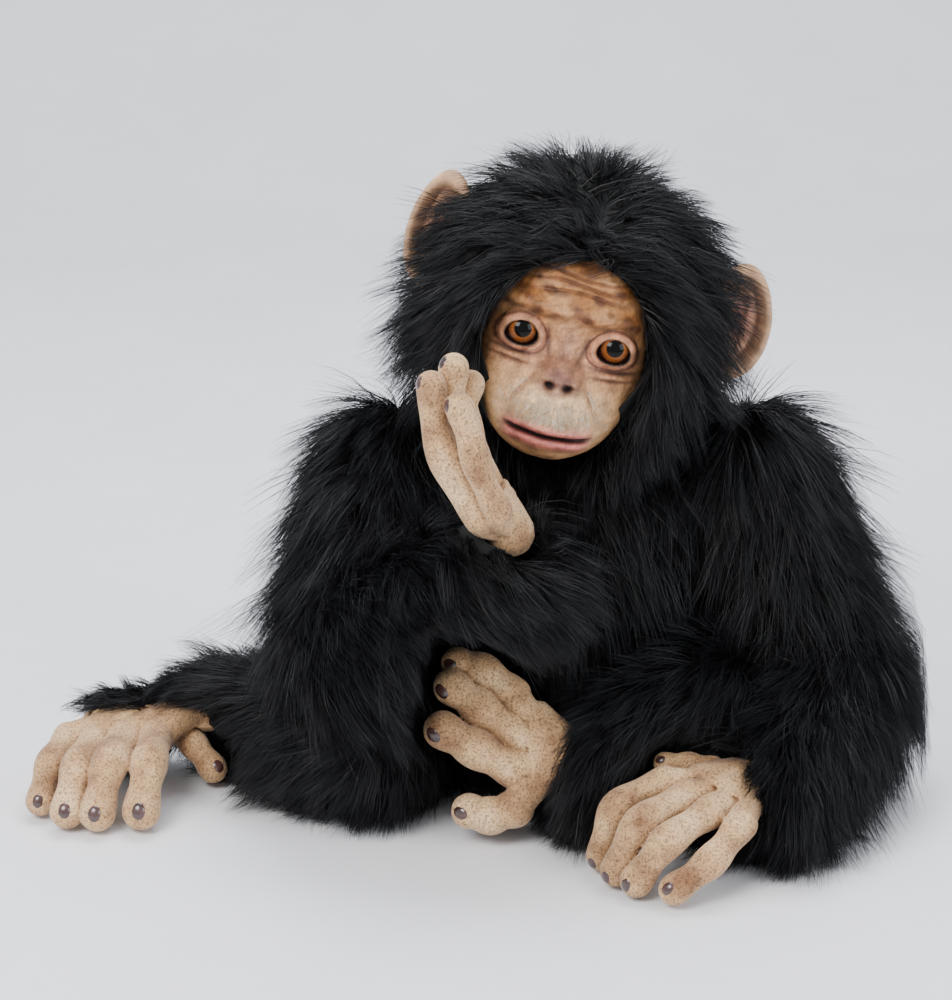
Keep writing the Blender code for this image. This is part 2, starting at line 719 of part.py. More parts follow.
ear("ear_right", -1, (-82.0, 8.0, 24.0), 21.0, 33.0, 40)
ear("ear_left", 1, (93.0, 8.0, 12.0), 25.0, 33.0, 35)
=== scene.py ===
import math

import bpy
import numpy as np
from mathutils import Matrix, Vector, kdtree
from mathutils.bvhtree import BVHTree


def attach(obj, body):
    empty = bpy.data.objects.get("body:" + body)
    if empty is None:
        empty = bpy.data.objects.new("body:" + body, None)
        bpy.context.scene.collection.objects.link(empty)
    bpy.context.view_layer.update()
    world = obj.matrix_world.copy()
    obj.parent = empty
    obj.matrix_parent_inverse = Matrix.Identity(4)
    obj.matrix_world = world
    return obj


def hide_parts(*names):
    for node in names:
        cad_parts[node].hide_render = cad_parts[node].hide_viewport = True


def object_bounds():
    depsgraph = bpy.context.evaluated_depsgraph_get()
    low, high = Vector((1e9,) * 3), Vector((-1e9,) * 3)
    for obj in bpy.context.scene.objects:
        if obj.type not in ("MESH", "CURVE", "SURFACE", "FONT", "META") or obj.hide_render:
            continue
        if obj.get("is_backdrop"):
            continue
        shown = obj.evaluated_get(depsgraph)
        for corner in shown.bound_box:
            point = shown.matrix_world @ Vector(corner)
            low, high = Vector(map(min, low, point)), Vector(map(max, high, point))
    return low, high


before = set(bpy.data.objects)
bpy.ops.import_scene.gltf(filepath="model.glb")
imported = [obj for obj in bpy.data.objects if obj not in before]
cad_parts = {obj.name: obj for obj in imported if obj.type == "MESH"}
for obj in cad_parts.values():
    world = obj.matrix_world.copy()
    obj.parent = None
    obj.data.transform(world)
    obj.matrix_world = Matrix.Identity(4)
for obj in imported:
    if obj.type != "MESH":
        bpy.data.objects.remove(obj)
CAD_LO, CAD_HI = (np.array(v, float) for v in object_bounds())
rng = np.random.default_rng(7)

# ------------------------------------------------------------- the part's own layout, in mm
SHIFT = np.array([12.24, 65.245, 0.0])
HEAD = np.array([54.0, -8.0, 286.0])
_r, _p, _y = (math.radians(v) for v in (13.4, 5.0, 2.0))
HM = (
    np.array([[math.cos(_y), math.sin(_y), 0], [-math.sin(_y), math.cos(_y), 0], [0, 0, 1]])
    @ np.array([[math.cos(_r), 0, math.sin(_r)], [0, 1, 0], [-math.sin(_r), 0, math.cos(_r)]])
    @ np.array([[1, 0, 0], [0, math.cos(_p), math.sin(_p)], [0, -math.sin(_p), math.cos(_p)]])
)
JOINT = {
    "upper_arm_right": ((-47, 0, 190), (-72, -104, 118)),
    "upper_arm_left": ((161, 0, 190), (212, -45, 72)),
    "forearm_right": ((-72, -104, 118), (20, -138, 190)),
    "forearm_left": ((212, -45, 72), (164, -136, 41)),
    "thigh_right": ((-27, 0, 46), (-66, -88, 56)),
    "thigh_left": ((141, 0, 46), (132, -80, 76)),
    "shin_right": ((-66, -88, 56), (-152, -20, 47)),
    "shin_left": ((132, -80, 76), (54, -110, 50)),
}


DIGITS = {
    "right_foot": [
        [(-190, -44, 34, 12), (-190, -82, 33, 12), (-193, -106, 13, 12)],
        [(-208, -42.3, 33, 12), (-213, -84, 33, 12), (-218, -108, 12.5, 11.5)],
        [(-225, -40.7, 32, 11), (-232, -80, 30, 11), (-236, -104, 12, 11)],
        [(-243, -39, 31, 10), (-250, -68, 26, 10), (-254, -86, 10.5, 9.5)],
    ],
    "right_big_toe": [[(-181, -24, 30, 9.5), (-169, -34, 24, 9.5), (-157, -44, 13, 9.5)]],
    "left_foot": [
        [(22, -92, 80, 10.5), (4, -86, 92, 11), (-11, -84, 96, 10)],
        [(22, -102.8, 61.3, 11.5), (2, -98, 74, 12), (-14, -96, 86, 11.5)],
        [(22, -114, 42, 12), (0, -112, 54, 12.5), (-19, -110, 65, 12)],
        [(22, -125, 23, 12), (8, -126, 19, 12), (-4, -124, 21, 11)],
    ],
    "left_big_toe": [[(34, -84, 58, 8.5), (19, -76, 60, 8.5), (4, -70, 66, 8)]],
    "left_hand": [
        [(106, -140, 46, 10), (78, -162, 40, 10), (70, -162, 11, 9.5)],
        [(119, -152.3, 43, 10.5), (90, -181, 39, 10.5), (77, -182, 11, 9.5)],
        [(132, -164.7, 40, 10.5), (105, -193, 34, 10.5), (88, -195, 11, 10)],
        [(146, -178, 37, 10), (128, -198, 24, 10), (108, -206, 11, 9.5)],
    ],
    "left_thumb": [[(134, -126, 48, 8), (121, -121.5, 49, 7.5), (107, -120.5, 49, 7)]],
    "right_hand": [
        [(12, -158, 212, 8.6), (3, -160, 232, 9.2), (-3, -159, 252, 9.2), (-9, -156, 270, 8.6)],
        [(2, -152, 205, 9), (-12, -151, 228, 10), (-21, -149, 252, 10), (-24, -147, 279, 9)],
        [(0, -143, 212, 9), (-10, -140, 240, 9.6), (-14, -136, 262, 9.6), (-12, -133, 285, 9)],
        [(8, -128, 215, 9), (-2, -124, 240, 9.4), (-6, -121, 258, 9), (-3, -119, 272, 8.6)],
    ],
    "right_thumb": [[(14, -112, 204, 9.5), (1, -104, 210, 9), (-12, -101, 220, 8.5)]],
}

def to_m(p):
    return (np.asarray(p, float) + SHIFT) / 1000.0


def to_mm(p):
    return np.asarray(p, float) * 1000.0 - SHIFT


def lin(c):
    c = np.asarray(c, float) / 255.0
    return np.where(c <= 0.04045, c / 12.92, ((c + 0.055) / 1.055) ** 2.4)


def norm(v):
    v = np.asarray(v, float)
    return v / np.maximum(np.linalg.norm(v, axis=-1, keepdims=True), 1e-9)


# ------------------------------------------------------------- materials
def new_mat(name):
    m = bpy.data.materials.new(name)
    m.use_nodes = True
    t = m.node_tree
    return m, t, t.nodes, t.links, t.nodes["Principled BSDF"]


def set_in(b, **kw):
    for k, v in kw.items():
        b.inputs[k.replace("_", " ")].default_value = v


def noise(n, l, scale, detail=4.0, rough=0.6, coord=None):
    t = n.new("ShaderNodeTexNoise")
    t.inputs["Scale"].default_value = scale
    t.inputs["Detail"].default_value = detail
    t.inputs["Roughness"].default_value = rough
    if coord is not None:
        l.new(coord, t.inputs["Vector"])
    return t


def ramp(n, l, fac, stops):
    r = n.new("ShaderNodeValToRGB")
    e = r.color_ramp.elements
    while len(e) < len(stops):
        e.new(0.5)
    for el, (p, c) in zip(e, stops):
        el.position = p
        el.color = (*[float(x) for x in c], 1.0)
    l.new(fac, r.inputs["Fac"])
    return r


def mix(n, l, kind, fac, a, b):
    x = n.new("ShaderNodeMix")
    x.data_type = "RGBA"
    x.blend_type = kind
    if isinstance(fac, float):
        x.inputs["Factor"].default_value = fac
    else:
        l.new(fac, x.inputs["Factor"])
    for sock, v in ((x.inputs[6], a), (x.inputs[7], b)):
        if isinstance(v, (tuple, list, np.ndarray)):
            sock.default_value = (*[float(q) for q in v], 1.0)
        else:
            l.new(v, sock)
    return x.outputs[2]


def bumped(n, l, b, height, strength, dist):
    u = n.new("ShaderNodeBump")
    u.inputs["Strength"].default_value = strength
    u.inputs["Distance"].default_value = dist
    l.new(height, u.inputs["Height"])
    l.new(u.outputs["Normal"], b.inputs["Normal"])


def fur_material():
    m, t, n, l, b = new_mat("long_pile")
    uv = n.new("ShaderNodeUVMap")
    uv.uv_map = "OFBake"
    sep = n.new("ShaderNodeSeparateXYZ")
    l.new(uv.outputs["UV"], sep.inputs["Vector"])
    # painted shade at the roots of the pile and painted sheen at the lighter bluish tips
    root_shade_tip_sheen = ramp(n, l, sep.outputs["Y"], [(0.0, (0.001, 0.001, 0.0012)), (0.45, (0.003, 0.003, 0.0036)), (1.0, (0.009, 0.0092, 0.0112))])
    each = ramp(n, l, sep.outputs["X"], [(0.0, (0.5, 0.5, 0.5)), (0.7, (1.0, 1.0, 1.0)), (1.0, (1.9, 1.95, 2.1))])
    l.new(mix(n, l, "MULTIPLY", 1.0, root_shade_tip_sheen.outputs["Color"], each.outputs["Color"]), b.inputs["Base Color"])
    set_in(b, Roughness=0.44, Specular_IOR_Level=0.2)
    return m


def backing_material():
    m, t, n, l, b = new_mat("pile_backing")
    tc = n.new("ShaderNodeTexCoord")
    z = noise(n, l, 240.0, coord=tc.outputs["Object"])
    c = ramp(n, l, z.outputs["Fac"], [(0.3, (0.002, 0.002, 0.0024)), (0.7, (0.005, 0.005, 0.006))])
    l.new(c.outputs["Color"], b.inputs["Base Color"])
    set_in(b, Roughness=0.95)
    return m


def skin_material(name, base, speck, dark):
    m, t, n, l, b = new_mat(name)
    tc = n.new("ShaderNodeTexCoord")
    o = tc.outputs["Object"]
    big = noise(n, l, 38.0, 3.0, 0.5, o)
    c1 = ramp(n, l, big.outputs["Fac"], [(0.3, dark), (0.52, base), (0.72, speck)])
    fine = noise(n, l, 750.0, 3.0, 0.7, o)
    f = ramp(n, l, fine.outputs["Fac"], [(0.36, (0.25, 0.2, 0.17)), (0.5, (1, 1, 1)), (0.68, (1.35, 1.3, 1.2))])
    g = n.new("ShaderNodeNewGeometry")
    # painted shade in the creases and painted highlight on the ridges, taken from the surface's pointiness
    crease_shade_ridge_light = ramp(n, l, g.outputs["Pointiness"], [(0.455, (0.34, 0.25, 0.18)), (0.498, (1, 1, 1)), (0.56, (1.12, 1.1, 1.06))])
    mot = mix(n, l, "MULTIPLY", 0.85, c1.outputs["Color"], f.outputs["Color"])
    l.new(mix(n, l, "MULTIPLY", 0.9, mot, crease_shade_ridge_light.outputs["Color"]), b.inputs["Base Color"])
    set_in(b, Roughness=0.86, Sheen_Weight=0.15)
    wr = noise(n, l, 320.0, 6.0, 0.65, o)
    bumped(n, l, b, wr.outputs["Fac"], 0.5, 0.0012)
    return m


def painted_material(name, rough=0.62, bump_d=0.0009, mottle=0.35):
    m, t, n, l, b = new_mat(name)
    at = n.new("ShaderNodeAttribute")
    at.attribute_name = "paint"
    tc = n.new("ShaderNodeTexCoord")
    o = tc.outputs["Object"]
    f = noise(n, l, 420.0, 5.0, 0.7, o)
    r = ramp(n, l, f.outputs["Fac"], [(0.34, (0.55, 0.5, 0.46)), (0.52, (1, 1, 1)), (0.7, (1.25, 1.22, 1.16))])
    l.new(mix(n, l, "MULTIPLY", mottle, at.outputs["Color"], r.outputs["Color"]), b.inputs["Base Color"])
    set_in(b, Roughness=rough)
    w = noise(n, l, 260.0, 7.0, 0.62, o)
    bumped(n, l, b, w.outputs["Fac"], 0.45, bump_d)
    return m


def nail_material():
    m, t, n, l, b = new_mat("nail_paint")
    tc = n.new("ShaderNodeTexCoord")
    z = noise(n, l, 160.0, 3.0, 0.5, tc.outputs["Object"])
    c = ramp(n, l, z.outputs["Fac"], [(0.3, lin((38, 22, 22))), (0.7, lin((84, 56, 52)))])
    l.new(c.outputs["Color"], b.inputs["Base Color"])
    set_in(b, Roughness=0.24, Coat_Weight=0.6, Coat_Roughness=0.15)
    return m


def eye_material():
    m, t, n, l, b = new_mat("glass_eye")
    at = n.new("ShaderNodeAttribute")
    at.attribute_name = "paint"
    tc = n.new("ShaderNodeTexCoord")
    f = noise(n, l, 900.0, 3.0, 0.6, tc.outputs["Object"])
    r = ramp(n, l, f.outputs["Fac"], [(0.3, (0.7, 0.7, 0.7)), (0.7, (1.2, 1.2, 1.2))])
    l.new(mix(n, l, "MULTIPLY", 0.3, at.outputs["Color"], r.outputs["Color"]), b.inputs["Base Color"])
    set_in(b, Roughness=0.08, Specular_IOR_Level=0.05, Coat_Weight=0.22, Coat_Roughness=0.02)
    return m


FUR, BACK = fur_material(), backing_material()
SKIN = skin_material("suede_skin", lin((186, 148, 106)), lin((210, 178, 138)), lin((122, 84, 54)))
FACE = painted_material("face_colour_and_painted_shade", mottle=0.6)
EARM = painted_material("ear_paint", 0.7, 0.0007, 0.4)
NAIL, EYE = nail_material(), eye_material()

cloth_like = {"fur": BACK, "fur_fabric": BACK}
for name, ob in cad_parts.items():
    ob.data.materials.clear()
    ob.data.materials.append(BACK)
plain = {}
for key, col, rough, metal in (
    ("wire", (0.55, 0.55, 0.57), 0.35, 1.0),
    ("disc", (0.2, 0.12, 0.07), 0.85, 0.0),
    ("bolt", (0.5, 0.5, 0.5), 0.35, 1.0),
    ("nut", (0.5, 0.5, 0.5), 0.35, 1.0),
    ("stuffing", (0.75, 0.73, 0.68), 0.95, 0.0),
    ("weight_bag", (0.45, 0.4, 0.33), 0.95, 0.0),
):
    m, t, n, l, b = new_mat("inner_" + key)
    tc = n.new("ShaderNodeTexCoord")
    z = noise(n, l, 300.0, coord=tc.outputs["Object"])
    c = ramp(n, l, z.outputs["Fac"], [(0.2, tuple(v * 0.8 for v in col)), (0.8, col)])
    l.new(c.outputs["Color"], b.inputs["Base Color"])
    set_in(b, Roughness=rough, Metallic=metal)
    for name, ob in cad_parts.items():
        if key in name:
            ob.data.materials.clear()
            ob.data.materials.append(m)


# ------------------------------------------------------------- meshes
def quad_mesh(name, verts, quads, mat, smooth=True, uv=None, paint=None):
    me = bpy.data.meshes.new(name)
    me.vertices.add(len(verts))
    me.vertices.foreach_set("co", np.ascontiguousarray(verts, dtype=np.float32).ravel())
    k = quads.shape[1]
    me.loops.add(len(quads) * k)
    me.loops.foreach_set("vertex_index", np.ascontiguousarray(quads, dtype=np.int32).ravel())
    me.polygons.add(len(quads))
    me.polygons.foreach_set("loop_start", np.arange(0, len(quads) * k, k, dtype=np.int32))
    me.polygons.foreach_set("loop_total", np.full(len(quads), k, dtype=np.int32))
    me.update(calc_edges=True)
    if smooth:
        me.polygons.foreach_set("use_smooth", np.ones(len(quads), bool))
    if uv is not None:
        layer = me.uv_layers.new(name="OFBake")
        layer.data.foreach_set("uv", np.ascontiguousarray(uv[quads.ravel()], dtype=np.float32).ravel())
    if paint is not None:
        a = me.color_attributes.new(name="paint", type="FLOAT_COLOR", domain="POINT")
        a.data.foreach_set("color", np.ascontiguousarray(np.column_stack([paint, np.ones(len(paint))]), dtype=np.float32).ravel())
    me.materials.append(mat)
    ob = bpy.data.objects.new(name, me)
    bpy.context.scene.collection.objects.link(ob)
    return ob


def face_xz(pts):
    """Head coordinates of points in mm."""
    return (pts - HEAD) @ HM


ROOM = 0.03 * (CAD_HI - CAD_LO) + 0.010 - 0.0015
LIM_LO, LIM_HI = to_mm(CAD_LO - ROOM), to_mm(CAD_HI + ROOM)


def soften(p):
    """Keeps points inside the allowed box and above the floor, bending them rather than cutting them."""
    p = np.minimum(np.maximum(p, LIM_LO), LIM_HI)
    low = p[..., 2] < 3.0
    p[..., 2] = np.where(low, 0.8 + 2.2 * np.exp((p[..., 2] - 3.0) / 12.0), p[..., 2])
    return p


def sample(node, count):
    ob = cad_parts[node]
    me = ob.data
    me.calc_loop_triangles()
    v = np.array([ob.matrix_world @ x.co for x in me.vertices])
    tri = np.array([t.vertices[:] for t in me.loop_triangles])
    v = to_mm(v)
    a, b, c = v[tri[:, 0]], v[tri[:, 1]], v[tri[:, 2]]
    nrm = np.cross(b - a, c - a)
    area = np.linalg.norm(nrm, axis=1) / 2
    nrm = norm(nrm)
    tree = BVHTree.FromPolygons([tuple(x) for x in v], [tuple(int(i) for i in t) for t in tri])
    # face-level smooth normals: average the normals of near faces
    cen = (a + b + c) / 3
    pick = rng.choice(len(tri), size=int(count * 1.15), p=area / area.sum())
    u = rng.random((len(pick), 2))
    flip = u.sum(1) > 1
    u[flip] = 1 - u[flip]
    p = a[pick] + (b - a)[pick] * u[:, :1] + (c - a)[pick] * u[:, 1:]
    q = nrm[pick]
    keep = np.ones(len(p), bool)
    for i in range(len(p)):
        o = Vector(p[i] + q[i] * 0.4)
        if tree.ray_cast(o, Vector(q[i]), 90.0)[0] is not None:
            keep[i] = False
    p, q = p[keep], q[keep]
    # vertex-weighted smoothing of the normals
    vn = np.zeros_like(v)
    for k in range(3):
        np.add.at(vn, tri[:, k], nrm * area[:, None])
    vn = norm(vn)
    w = np.stack([1 - u.sum(1), u[:, 0], u[:, 1]], 1)[keep]
    t3 = tri[pick][keep]
    sn = norm((vn[t3] * w[..., None]).sum(1))
    q = norm(0.35 * q + 0.65 * sn)
    return p, q


def outward(node, p, q):
    """Smooth outward direction for each kind of piece."""
    if node in JOINT:
        a, b = (np.array(v, float) for v in JOINT[node])
        d = norm(b - a)
        t = np.clip(((p - a) @ d), 0, np.linalg.norm(b - a))
        r = norm(p - (a + t[:, None] * d))
        return norm(0.6 * r + 0.4 * q)
    return q


def comb(node, p, q):
    g = np.array([0.0, 0.0, -1.0])
    if node in JOINT:
        a, b = (np.array(v, float) for v in JOINT[node])
        d = norm(b - a)[None]
        if node.startswith("forearm"):
            return norm(0.75 * d + 0.75 * g)
        if node.startswith("upper"):
            return norm(0.5 * d + 0.8 * g)
        if node.startswith("thigh"):
            return norm(0.7 * d + 0.5 * g)
        return norm(0.8 * d + 0.45 * g)
    if node.startswith("head"):
        h = face_xz(p)
        part = np.array([4.0, -60.0, 52.0])  # the parting above the brow
        away = h - part
        away = norm(away)
        side = np.stack([np.sign(h[:, 0] - 4.0) * 0.8, np.full(len(h), 0.15), np.full(len(h), -0.25)], 1)
        front = np.exp(-((h[:, 1] + 60) / 45.0) ** 2)[:, None]
        d = norm(away * (1 - 0.4 * front) + side * 0.5 * front) @ HM.T
        return norm(d + np.array([0, 0, -0.55]))
    if node.startswith(("hand", "foot")):
        end = {"hand_left": (-0.7, -0.7, -0.2), "foot_right": (-0.6, -0.75, -0.1), "foot_left": (-0.9, 0, -0.2), "hand_right": (-0.2, 0, 0.9)}[node]
        return norm(np.array(end) + 0.0 * p)
    return norm(np.array([0.0, -0.05, -1.0]) + 0.0 * p)


def digit_points():
    pts = []
    for tag, lines in list(DIGITS.items()):
        for ln in lines:
            a = np.array(ln, float)
            for i in range(len(a) - 1):
                for k in np.linspace(0, 1, 5):
                    pts.append((a[i] * (1 - k) + a[i + 1] * k))
    for a, b in (((14, -118, 51), (24, -114, 51)), ((6, -140, 225), (18, -138, 196)), ((110, -158, 46), (120, -155, 44))):
        for k in np.linspace(0, 1, 5):
            pts.append(np.array([*(np.array(a) * (1 - k) + np.array(b) * k), 14.0]))
    return np.array(pts)


def in_front(S):
    """Strands that would hang in front of fingers and toes, seen from ahead."""
    e = math.radians(18.0)
    R, U, F = np.array([1.0, 0, 0]), np.array([0, math.sin(e), math.cos(e)]), np.array([0, math.cos(e), -math.sin(e)])
    D = digit_points()
    du, dv, df = D[:, :3] @ R, D[:, :3] @ U, D[:, :3] @ F
    bad = np.zeros(len(S), bool)
    for j in range(1, S.shape[1]):
        P = S[:, j]
        u, v, f = P @ R, P @ U, P @ F
        for k in range(len(D)):
            near = (np.abs(u - du[k]) < D[k, 3] + 3) & (np.abs(v - dv[k]) < D[k, 3] + 3) & (f < df[k] + 6) & (f > df[k] - 110)
            bad |= near
    return bad


def strands(node, body, count, length, lift, width=0.5, segs=4, curl=2.4, clump=0.5, droop=1.1, near=None, roots=None, name=None, mat=None, facefree=True):
    if roots is None:
        p, q = sample(node, count)
    else:
        p, q, given = roots
    if near is not None:
        k = np.linalg.norm(p - np.array(near[0], float), axis=1) + rng.normal(size=len(p)) * 4 < near[1]
        p, q = p[k], q[k]
    n = outward(node, p, q)
    g = np.array([0.0, 0.0, -1.0])
    # roots inside the face opening or on hidden joint faces grow nothing
    h = face_xz(p)
    if node.startswith("head") and roots is None:
        in_face = ((h[:, 0] / 50.0) ** 2 + ((h[:, 2] + 20.0) / 61.0) ** 2 < 1.0) & (h[:, 1] < -20)
        p, q, n, h = (x[~in_face] for x in (p, q, n, h))
    c = comb(node, p, n) if roots is None else given
    c = norm(c - n * np.minimum((c * n).sum(1, keepdims=True), 0.0) * 1.0)
    N = len(p)
    L = length * (0.62 + 0.38 * rng.random(N))
    if node.startswith("head") and roots is None:
        rim = np.sqrt((h[:, 0] / 50.0) ** 2 + ((h[:, 2] + 20.0) / 61.0) ** 2)
        near = np.exp(-np.maximum(rim - 1.0, 0) / 0.16) * (h[:, 1] < 0)
        L = L * (1 - 0.5 * near)
    # clumps
    m = max(N // 26, 1)
    cid = rng.choice(N, m, replace=False)
    kd = kdtree.KDTree(m)
    for i, k in enumerate(cid):
        kd.insert(Vector(p[k]), i)
    kd.balance()
    own = np.array([kd.find(Vector(x))[1] for x in p])
    jit = rng.normal(size=(m, 3))
    cdir = norm(c[cid] + 0.28 * jit)
    t = np.linspace(0, 1, segs + 1)
    d = norm(c + 0.28 * jit[own] + 0.16 * rng.normal(size=(N, 3)))
    ph = rng.random(m) * 6.283
    amp = curl * (0.4 + rng.random(m))
    bend = norm(np.cross(cdir, jit))

    def path(p0, n0, d0, l0, ci, own_phase):
        out = []
        for tt in t:
            q0 = p0 + l0[:, None] * (n0 * lift * (tt - 0.45 * tt * tt) + d0 * (0.45 * tt + 0.4 * tt * tt) + g * 0.16 * droop * tt * tt)
            w = np.sin(ph[ci] + 5.2 * tt + own_phase)[:, None] * amp[ci][:, None] * tt * bend[ci]
            out.append(q0 + w)
        return np.stack(out, 1)

    S = path(p, n, d, L, own, rng.normal(size=N) * 0.5)
    C = path(p[cid], n[cid], cdir, L[cid], np.arange(m), np.zeros(m))
    k = clump * (t**1.4)[None, :, None]
    S = S * (1 - k) + C[own] * k
    S = soften(S)
    # strands that would lie over the face are left out
    hh = face_xz(S.reshape(-1, 3)).reshape(S.shape)
    e = (hh[..., 0] / 46.0) ** 2 + ((hh[..., 2] + 20.0) / 57.0) ** 2
    bad = ((e < 1.0) & (hh[..., 1] < -42) & (hh[..., 1] > -175)).sum(1)
    keep = bad < (1 if not node.startswith("head") else 2)
    if not facefree:
        keep[:] = True
    if mat is None:
        keep &= ~in_front(S)
    S, own, L, n, d = S[keep], own[keep], L[keep], n[keep], d[keep]
    N = len(S)
    tan = np.gradient(S, axis=1)
    view = norm(rng.normal(size=(N, 3)) + 1.2 * n)
    side = norm(np.cross(tan, view[:, None, :]))
    wid = width * (0.7 + 0.6 * rng.random(N))[:, None, None] * (1.0 - 0.88 * t[None, :, None] ** 1.5) / 2
    A, B = S - side * wid, S + side * wid
    V = np.stack([A, B], 2).reshape(-1, 3)
    base = (np.arange(N) * (segs + 1) * 2)[:, None]
    k = np.arange(segs)[None, :] * 2
    quads = np.stack([base + k, base + k + 1, base + k + 3, base + k + 2], 2).reshape(-1, 4)
    shade = np.clip(0.45 * rng.random(N) + 0.55 * (rng.random(m)[own]), 0.01, 0.99)
    uv = np.stack([np.repeat(shade, (segs + 1) * 2), np.tile(np.repeat(np.clip(t, 0.01, 0.99), 2), N)], 1)
    ob = quad_mesh(name or "pile_" + node, to_m(V), quads, mat or FUR, uv=uv)
    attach(ob, body)
    return ob


FURS = [
    ("head_fur_fabric", "head", 47000, 50, 0.46),
    ("torso_fur_fabric", "torso", 47000, 60, 0.38),
    ("upper_arm_left", "upper_arm_left", 42000, 66, 0.42),
    ("upper_arm_right", "upper_arm_right", 42000, 66, 0.42),
    ("forearm_left", "forearm_left", 40000, 66, 0.42),
    ("forearm_right", "forearm_right", 40000, 56, 0.42),
    ("thigh_left", "thigh_left", 30000, 50, 0.42),
    ("thigh_right", "thigh_right", 30000, 50, 0.42),
    ("shin_left", "shin_left", 38000, 52, 0.4),
    ("shin_right", "shin_right", 38000, 52, 0.4),
    ("neck_stub", "neck", 5000, 30, 0.4),
]
CUFFS = [
    ("hand_left", 14000, 34, ((166, -134, 48), 46)),
    ("foot_right", 14000, 27, ((-178, -16, 50), 56)),
    ("foot_left", 6000, 24, ((62, -108, 52), 26)),
    ("hand_right", 5000, 24, ((24, -138, 182), 18)),
]
for node, body, count, length, lift in FURS:
    strands(node, body, count, length, lift)
for node, count, length, near in CUFFS:
    strands(node, node, count, length, 0.35, near=near)


def hairline():
    k = 15000
    a = rng.random(k) * 2 * math.pi
    f = 0.985 + 0.26 * rng.random(k) ** 1.5
    up = np.sin(a)
    x = 50.0 * np.cos(a) * f * np.where(up < 0, 1 - 0.14 * up * up, 1)
    z = -20.0 + 60.0 * up * f
    depth = 79.0 * np.sqrt(np.maximum(1 - (x / 80.0) ** 2 - (z / 83.0) ** 2, 0.02)) - 0.5 + 1.5 * rng.random(k)
    p = np.stack([x, -depth, z], 1) @ HM.T + HEAD
    n = norm(np.stack([x * 0.012, np.full(k, -0.75), (z + 20) * 0.010], 1)) @ HM.T
    sx = np.sign(x - 6.0 + rng.normal(size=k) * 5)
    top = np.clip(up, 0, 1)
    inward = (rng.random(k) < 0.4) * (1 - top) * 0.5
    c = np.stack([sx * (0.2 + 0.8 * top - inward), 0.10 + 0.1 * top, -0.9 + 1.25 * top**2], 1)
    c = norm(c @ HM.T + np.array([0, 0, -0.25]))
    low = up < -0.35
    c[low] = norm(np.array([0.0, -0.05, -1.0]) + 0.25 * n[low])
    L = np.where(low, 22.0, 44.0)
    strands("head_fur_fabric", "head", k, 44, 0.32, roots=(p, n, c), name="hair_line", clump=0.55)


def tuft():
    k = 170
    p = np.array([70.0, -30.0, 362.0]) + rng.normal(size=(k, 3)) * np.array([9.0, 9.0, 2.0])
    n = norm(np.array([0.2, -0.1, 1.0]) + 0.15 * rng.normal(size=(k, 3)))
    c = norm(np.array([0.9, -0.2, 0.55]) + 0.25 * rng.normal(size=(k, 3)))
    strands("head_fur_fabric", "head", k, 50, 0.25, roots=(p, n, c), name="hair_tuft", droop=0.2, facefree=False)


def wisps(node, body, count, length, centre, reach):
    strands(node, body, count, length, 0.30, width=0.42, clump=0.75, near=(centre, reach), name="wisps_" + node)


hairline()
tuft()
wisps("upper_arm_left", "upper_arm_left", 5000, 92, (208, -30, 120), 85)
wisps("forearm_left", "forearm_left", 5000, 80, (205, -60, 70), 70)
wisps("upper_arm_right", "upper_arm_right", 5000, 88, (-62, -70, 140), 80)
wisps("torso_fur_fabric", "torso", 4000, 80, (57, -70, 120), 70)
wisps("shin_left", "shin_left", 3500, 64, (110, -95, 66), 50)


# ------------------------------------------------------------- face
def g2(x, z, cx, cz, wx, wz, p=2.0):
    return np.exp(-(np.abs((x - cx) / wx) ** p) - np.abs((z - cz) / wz) ** p)


EYES = [(-26.3, -7.5), (26.3, -6.5)]
EYE_Y, EYE_R = -59.5, 11.8


def smooth_noise(x, z, s, seed):
    r = np.random.default_rng(seed)
    out = 0
    for _ in range(7):
        a = r.random() * 6.28
        f = s * (0.6 + 1.2 * r.random())
        out = out + np.sin(x * math.cos(a) * f + z * math.sin(a) * f + r.random() * 6.28)
    return out / 3.5


